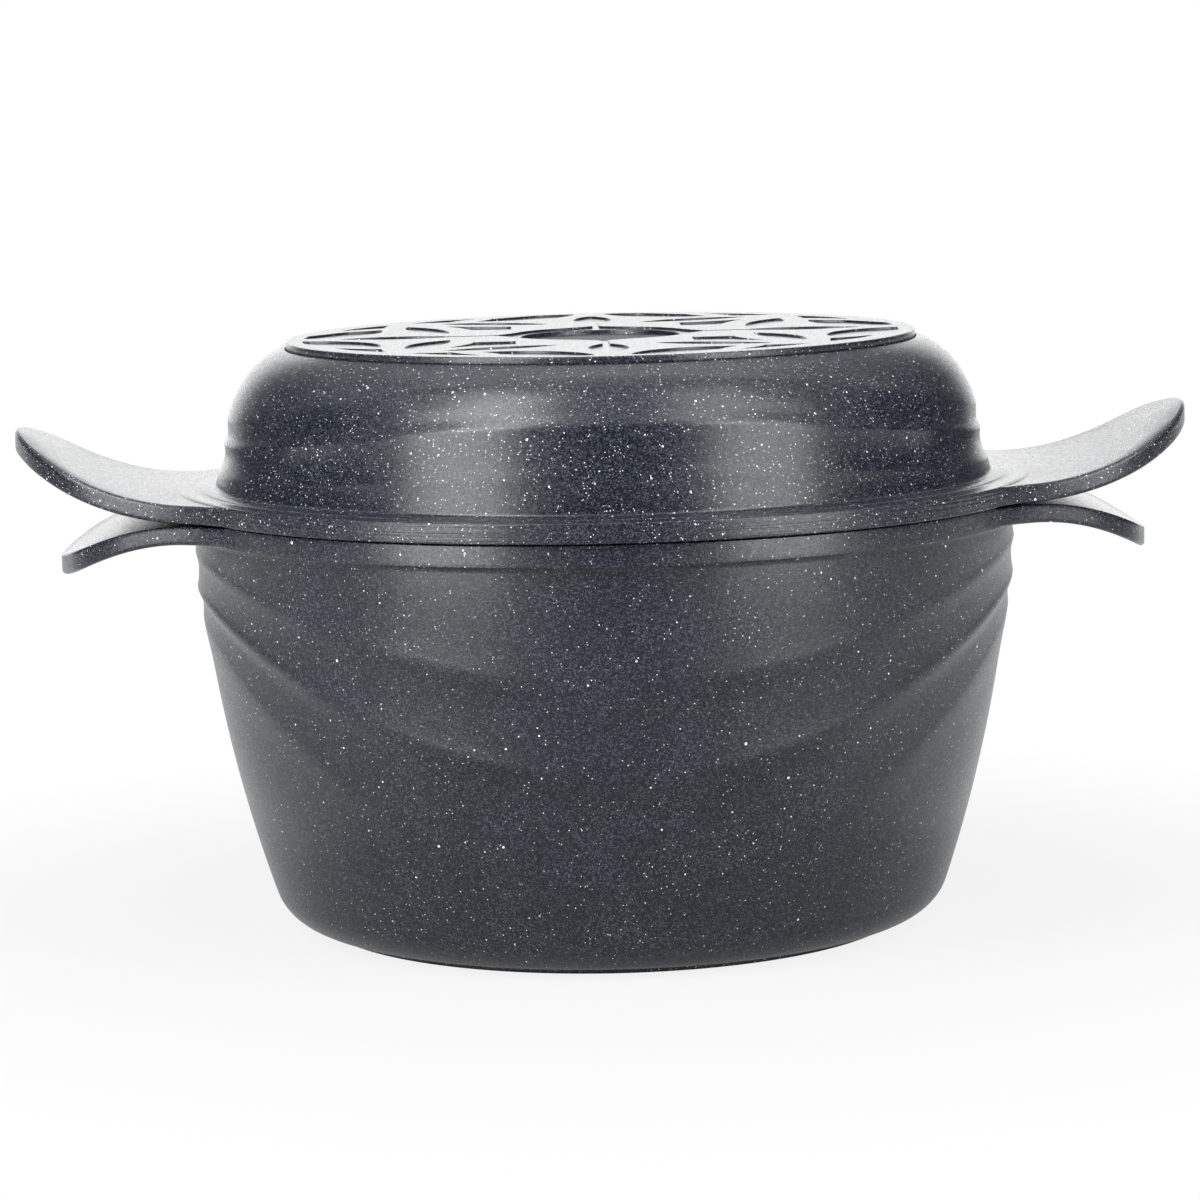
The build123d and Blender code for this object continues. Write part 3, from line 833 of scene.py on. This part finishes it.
class PlateMesh:
    """Collects the rings and faces of a base plate. Depths count from its relief face, all in millimetres."""

    def __init__(self, face, sign):
        self.face, self.sign = face, sign
        self.points, self.faces = [], []
        self.grounds, self.flats = [], []

    def ring(self, outline, depth):
        """Adds a ring of points and gives its places in the list."""
        start = len(self.points)
        self.points += [(x, y, self.face - self.sign * depth) for x, y in outline]
        return list(range(start, len(self.points)))

    def add_face(self, corners, flat=False, ground=False):
        """Adds a face that looks away from the plate."""
        self.faces.append(corners if self.sign > 0 else corners[::-1])
        self.flats.append(flat)
        self.grounds.append(ground)

    def join(self, outer, inner):
        """Joins two rings of as many points."""
        for index in range(len(outer)):
            ahead = (index + 1) % len(outer)
            self.add_face((outer[index], outer[ahead], inner[ahead], inner[index]))

    def fall(self, outline, top, depth):
        """Walls of a field whose upper edge lies at top. Gives its upper and its lower ring."""
        rings = [self.ring(moved_inwards(outline, inset), top + share * depth) for inset, share in WALL_STEPS]
        for outer, inner in zip(rings, rings[1:]):
            self.join(outer, inner)
        return rings[0], rings[-1]

    def fill(self, loops, ground=False):
        """Fills the flat region inside the first loop and outside the others."""
        places = [place for loop in loops for place in loop]
        starts = np.cumsum([0] + [len(loop) for loop in loops])
        outlines = [list(range(start, end)) for start, end in zip(starts, starts[1:])]
        flat = [Vector(self.points[place][:2]) for place in places]
        points, _, faces, sources, _, _ = delaunay_2d_cdt(flat, [], outlines, 2, 1e-5)
        for corners in faces:
            (ax, ay), (bx, by), (cx, cy) = (points[corner] for corner in corners)
            if (bx - ax) * (cy - ay) < (by - ay) * (cx - ax):
                corners = corners[::-1]
            self.add_face([places[sources[corner][0]] for corner in corners], True, ground)

    def finish(self, name, materials):
        """Makes the piece."""
        mesh = bpy.data.meshes.new(name)
        mesh.from_pydata((np.array(self.points) * MILLIMETRE).tolist(), [], self.faces)
        mesh.polygons.foreach_set("use_smooth", [not flat for flat in self.flats])
        mesh.polygons.foreach_set("material_index", [int(ground) for ground in self.grounds])
        for material in materials:
            mesh.materials.append(material)
        return sound_piece(name, mesh)


class BuildBasePlates(bpy.types.Operator):
    """Builds the two base plates, each with a sunken rosette round a bare medallion"""

    bl_idname = "potware.base_plates"
    bl_label = "Base Plates"

    def execute(self, context):
        scene, sizes = context.scene, context.scene.plate_sizes
        pan_face = scene.pot_sizes.height + scene.pan_sizes.casting_height + sizes.pan_stand
        self.build("pot_plate", sizes.pot_radius, 0.0, sizes.pot_stand, -1, "pot", "pot_base_plate")
        self.build("pan_plate", sizes.pan_radius, pan_face, sizes.pan_stand, 1, "lid_pan", "pan_base_plate")
        return {"FINISHED"}

    def build(self, name, radius, face, stand, sign, body, node):
        """Builds one plate, with its relief on its upper face where sign is 1."""
        sizes = bpy.context.scene.plate_sizes
        radius, face, stand = radius / MILLIMETRE, face / MILLIMETRE, stand / MILLIMETRE
        depth, medallion_depth = sizes.field_depth / MILLIMETRE, sizes.medallion_depth / MILLIMETRE
        step = RELIEF_STEP / radius
        plate = PlateMesh(face, sign)
        around = np.linspace(0.0, 2 * pi, COLUMNS, endpoint=False)
        back = stand + PLATE_SEAT
        profile = []
        for turn in np.linspace(0.0, pi / 2, 7):
            profile.append((radius - PLATE_ROUNDING * (1 - sin(turn)), PLATE_ROUNDING * (1 - cos(turn))))
        profile += [(radius, back - 0.2), (radius - 0.2, back)]
        profile += [(radius * 0.7, back), (radius * 0.35, back), (1.0, back)]
        rings = [plate.ring(flat_points(around, reach), down) for reach, down in profile]
        for inner, outer in zip(rings, rings[1:]):
            plate.join(outer, inner)
        plate.add_face(rings[-1][::-1], True)
        loops = [rings[0]]
        for outline in field_outlines(step):
            upper, lower = plate.fall(outline * radius, 0.0, depth)
            plate.fill([lower])
            loops.append(upper)
        upper, lower = plate.fall(star_points(step) * radius, 0.0, depth)
        loops.append(upper)
        plate.fill(loops)
        medallion = flat_points(around[::3], MEDALLION * radius)
        upper, ground = plate.fall(medallion, depth, medallion_depth - depth)
        plate.fill([lower, upper])
        plate.fill([ground], True)
        piece = plate.finish(name, (coating("pan_coating"), coating("stippled_ground")))
        add_piece(piece, body, node)


# Studio

# How far the floor lies below the object, in millimetres, so that their faces don't coincide
FLOOR_DROP = 0.1

# The lamps: the place, width and height of each in metres, and for those in front a share of the side power
LAMP_TARGET = (0.0, 0.0, 0.10)
TOP_LAMP = ("top_softbox", (0.0, 0.4, 1.8), 1.6, 1.2)
SIDE_LAMPS = (
    ("left_softbox", (-0.43, -0.48, 0.30), 0.34, 0.60, 1.0),
    ("right_softbox", (0.43, -0.48, 0.30), 0.34, 0.60, 0.8),
    ("upper_left_softbox", (-0.52, -0.56, 1.0), 0.36, 0.70, 1.6),
    ("upper_right_softbox", (0.52, -0.56, 1.0), 0.36, 0.70, 0.8),
)

# Light from around: a range of places or directions, and the strength at its two ends. All but the shadow are
# for reflections. The floor's glow behind and beside the object is painted light: a painted reflection of lit
# floor, white where it is strongest, that puts highlights on the walls.
FLOOR_SHADOW = ((0.14, 0.42), (0.86, 1.0))
PAINTED_GLOW_BEHIND = ((-0.3, 0.4), (0.08, 1.15))
PAINTED_GLOW_BESIDE = ((0.12, 0.34), (0.08, 3.4))
BACKDROP = ((0.82, 0.96), (0.06, 2.5))
CEILING = ((0.25, 0.8), (0.0, 0.8))
ROOM_LIGHT = 0.1

# The camera: its place, its lens, and how far it looks aside, looks down and is rolled, in degrees
CAMERA_PLACE = (-0.0617, -1.5508, 0.3183)
CAMERA_LENS = 130.19
CAMERA_ASIDE = -2.2
CAMERA_DOWN = 7.475
CAMERA_ROLL = -1.264


class SetStudio(bpy.types.Operator):
    """Sets the floor, the lamps, the surroundings and the camera"""

    bl_idname = "potware.studio"
    bl_label = "Studio"

    def execute(self, context):
        light = context.scene.studio_light
        self.lay_floor(light)
        for name, place, width, height, share in SIDE_LAMPS:
            self.hang_lamp(name, place, width, height, light.side_power * share)
        self.hang_lamp(*TOP_LAMP, light.top_power)
        self.surround(context.scene)
        self.place_camera(context.scene)
        context.scene.view_settings.view_transform = "Standard"
        return {"FINISHED"}

    def lay_floor(self, light):
        """A round pale floor."""
        rings, columns, reach = 24, 96, 2.5
        angles = np.linspace(0.0, 2 * pi, columns, endpoint=False)
        rows = [ring(angles, reach / MILLIMETRE * (index + 1) / rings, -FLOOR_DROP) for index in range(rings)]
        points = np.concatenate([np.array([[0.0, 0.0, -FLOOR_DROP]])] + rows) * MILLIMETRE
        faces = [(0, 1 + column, 1 + (column + 1) % columns) for column in range(columns)]
        for inner in range(1, (rings - 1) * columns, columns):
            outer = inner + columns
            for column in range(columns):
                ahead = (column + 1) % columns
                faces.append((inner + column, outer + column, outer + ahead, inner + ahead))
        mesh = bpy.data.meshes.new("floor")
        mesh.from_pydata(points.tolist(), [], faces)
        mesh.materials.append(self.floor_finish(light))
        floor = new_object("floor", mesh)

    def floor_finish(self, light):
        """White for the camera, with a shadow near the object, clear from below, and dark in front for
        reflections. Behind and beside the object it glows white in reflections, as painted light."""
        material, tree = new_material("pale_floor")
        place = node_of(tree, "TexCoord").outputs["Object"]
        here = node_of(tree, "SeparateXYZ", {0: place})
        near = mapped(tree, distance_out(tree, place), *FLOOR_SHADOW, "SMOOTHSTEP")
        aside = worked_out(tree, "ABSOLUTE", here.outputs["X"])
        # Painted light: in reflections the floor glows white behind and beside the object, like floor lit by
        # the lamps
        behind = mapped(tree, here.outputs["Y"], *PAINTED_GLOW_BEHIND, "SMOOTHSTEP")
        beside = mapped(tree, aside, *PAINTED_GLOW_BESIDE, "SMOOTHSTEP")
        mirrored = worked_out(tree, "MAXIMUM", behind, beside)
        path = node_of(tree, "LightPath")
        in_view = worked_out(tree, "MULTIPLY", path.outputs["Is Camera Ray"], near)
        in_mirror = worked_out(tree, "MULTIPLY", path.outputs["Is Glossy Ray"], mirrored)
        seen = worked_out(tree, "ADD", in_view, in_mirror)
        white = node_of(tree, "Emission", {"Color": (1.0, 1.0, 1.0, 1.0), "Strength": 1.0})
        matt = node_of(tree, "BsdfDiffuse", {"Color": (*light.floor_colour, 1.0)})
        parts = {0: seen, 1: matt.outputs["BSDF"], 2: white.outputs["Emission"]}
        mixed = node_of(tree, "MixShader", parts)
        below = node_of(tree, "NewGeometry").outputs["Backfacing"]
        clear = node_of(tree, "BsdfTransparent")
        sides = {0: below, 1: mixed.outputs["Shader"], 2: clear.outputs["BSDF"]}
        face = node_of(tree, "MixShader", sides)
        node_of(tree, "OutputMaterial", {"Surface": face.outputs["Shader"]})
        return material

    def hang_lamp(self, name, place, width, height, power):
        """A soft lamp that faces the object."""
        lamp = bpy.data.lights.new(name, "AREA")
        lamp.shape = "RECTANGLE"
        lamp.size, lamp.size_y = width, height
        lamp.energy = power
        holder = new_object(name, lamp)
        holder.location = place
        aim = Vector(LAMP_TARGET) - Vector(place)
        holder.rotation_euler = aim.to_track_quat("-Z", "Y").to_euler()

    def surround(self, scene):
        """White for the camera. Reflections see it behind and above, and a dim room in front."""
        world = bpy.data.worlds.new("surroundings")
        world.use_nodes = True
        tree = world.node_tree
        tree.nodes.clear()
        facing = node_of(tree, "TexCoord").outputs["Generated"]
        direction = node_of(tree, "SeparateXYZ", {0: facing})
        backdrop = mapped(tree, direction.outputs["Y"], *BACKDROP, "SMOOTHSTEP")
        ceiling = mapped(tree, direction.outputs["Z"], *CEILING, "SMOOTHSTEP")
        behind = worked_out(tree, "MAXIMUM", backdrop, ceiling)
        path = node_of(tree, "LightPath")
        glossy, passed = path.outputs["Is Glossy Ray"], path.outputs["Is Transmission Ray"]
        mirrored = worked_out(tree, "MAXIMUM", glossy, passed)
        in_mirror = worked_out(tree, "MULTIPLY", mirrored, behind)
        shown = worked_out(tree, "MAXIMUM", path.outputs["Is Camera Ray"], in_mirror)
        strength = worked_out(tree, "MAXIMUM", shown, ROOM_LIGHT)
        sky = node_of(tree, "Background", {"Color": (1.0, 1.0, 1.0, 1.0), "Strength": strength})
        node_of(tree, "OutputWorld", {"Surface": sky.outputs["Background"]})
        scene.world = world

    def place_camera(self, scene):
        """The camera stands in front, a little above the rim, and is rolled slightly."""
        lens = bpy.data.cameras.new("camera")
        lens.sensor_width = 36.0
        lens.lens = CAMERA_LENS
        camera = new_object("camera", lens)
        turn = Matrix.Rotation(radians(CAMERA_ASIDE), 4, "Z")
        tilt = Matrix.Rotation(radians(90.0 - CAMERA_DOWN), 4, "X")
        roll = Matrix.Rotation(radians(CAMERA_ROLL), 4, "Z")
        camera.matrix_world = Matrix.Translation(CAMERA_PLACE) @ turn @ tilt @ roll
        scene.camera = camera


class PotPanel(bpy.types.Panel):
    """Sizes, finishes and building steps of the set"""

    bl_idname = "VIEW3D_PT_potware"
    bl_label = "Pot With Frying Pan Lid"
    bl_space_type = "VIEW_3D"
    bl_region_type = "UI"
    bl_category = "Pot"

    def draw(self, context):
        for group in (getattr(context.scene, name) for name in GROUPS):
            box = self.layout.box()
            box.label(text=group.bl_rna.description)
            for name in group.__annotations__:
                box.prop(group, name)
        for operator in OPERATORS:
            self.layout.operator(operator.bl_idname)


GROUPS = {
    "pot_sizes": PotSizes,
    "pan_sizes": PanSizes,
    "plate_sizes": PlateSizes,
    "coating_look": CoatingLook,
    "studio_light": StudioLight,
}
OPERATORS = (BuildPotCasting, BuildPanCasting, BuildBasePlates, SetStudio)


def register():
    for name, group in GROUPS.items():
        bpy.utils.register_class(group)
        setattr(bpy.types.Scene, name, PointerProperty(type=group))
    for operator in OPERATORS:
        bpy.utils.register_class(operator)
    bpy.utils.register_class(PotPanel)


def unregister():
    bpy.utils.unregister_class(PotPanel)
    for operator in reversed(OPERATORS):
        bpy.utils.unregister_class(operator)
    for name, group in reversed(GROUPS.items()):
        delattr(bpy.types.Scene, name)
        bpy.utils.unregister_class(group)


def main():
    register()
    bpy.ops.potware.pot_casting()
    bpy.ops.potware.pan_casting()
    bpy.ops.potware.base_plates()
    bpy.ops.potware.studio()


if __name__ == "__main__":
    main()
